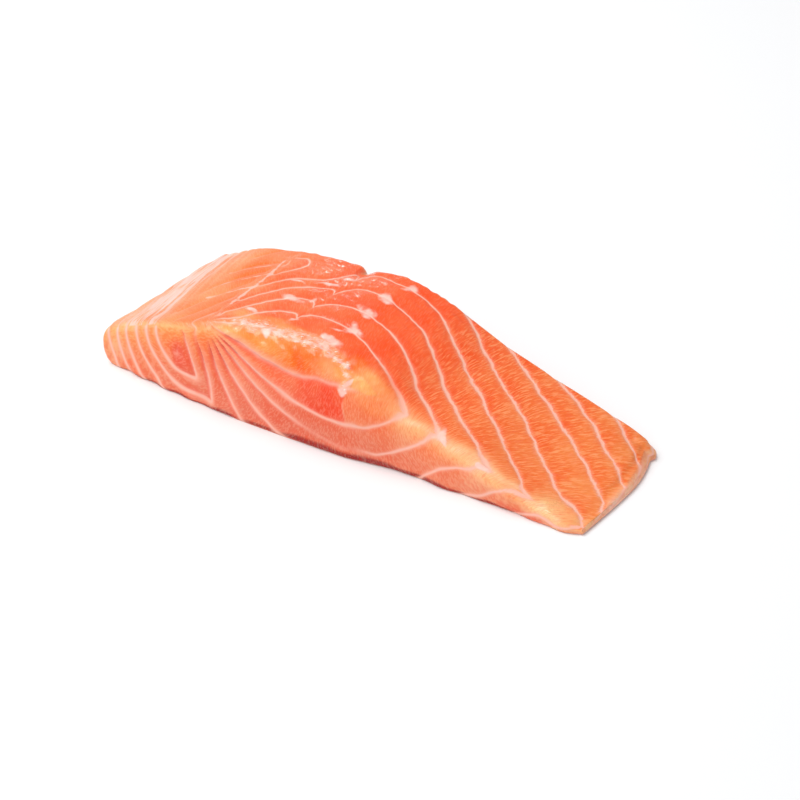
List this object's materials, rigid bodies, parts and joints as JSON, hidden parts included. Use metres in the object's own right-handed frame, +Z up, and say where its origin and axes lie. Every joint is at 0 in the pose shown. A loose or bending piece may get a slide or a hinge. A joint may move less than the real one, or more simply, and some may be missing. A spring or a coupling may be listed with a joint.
{
  "type": "raw salmon fillet portion",
  "caption": "Raw skinless salmon portion cut across the fish: thick rounded back, thin belly end, flat underside to rest on.",
  "frame": {"origin": "centre of the bounding box's underside, on the flat skin side that the portion rests on", "axes": "+X from the thick back end to the thin belly end, +Y from the front cut to the back cut, +Z up"},
  "size_m": [0.165, 0.0556, 0.0302],
  "materials": {
    "salmon_flesh": "satin"
  },
  "bodies": {
    "root": {"salmon_fillet": "salmon_flesh"}
  },
  "joints": []
}
